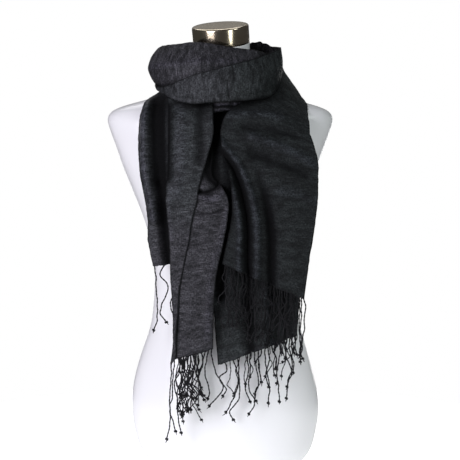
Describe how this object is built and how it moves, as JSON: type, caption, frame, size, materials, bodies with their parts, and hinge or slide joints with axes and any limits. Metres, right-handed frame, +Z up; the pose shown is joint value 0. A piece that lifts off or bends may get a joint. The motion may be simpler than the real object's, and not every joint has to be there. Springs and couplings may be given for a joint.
{
  "type": "fringed silk scarf wound on a limbless dress form",
  "caption": "Wide dark raw-silk scarf with knotted fringe, wound once round the neck of a white limbless display form that stands on its flat foot.",
  "frame": {"origin": "on the flat foot of the dress form, under its neck, midway between the hips", "axes": "+Z up from the foot to the neck, -Y the front of the form, +X the form's own left, which is on the right in the picture"},
  "size_m": [0.3962, 0.2538, 0.804],
  "materials": {
    "silk": "slubbed raw silk with a soft sheen",
    "form_plastic": "smooth satin gloss",
    "chrome": "polished"
  },
  "bodies": {
    "root": {"form_torso": "form_plastic", "neck_cap": "chrome", "collar_upper": "silk", "collar_lower": "silk", "collar_inner": "silk", "back_wrap": "silk", "back_under": "silk", "right_front": "silk", "right_back": "silk", "left_outer": "silk", "left_front": "silk", "left_inner": "silk", "fringe_left_outer": "silk", "fringe_left_front": "silk", "fringe_left_inner": "silk", "fringe_right_back": "silk", "fringe_right_front": "silk"}
  },
  "joints": []
}
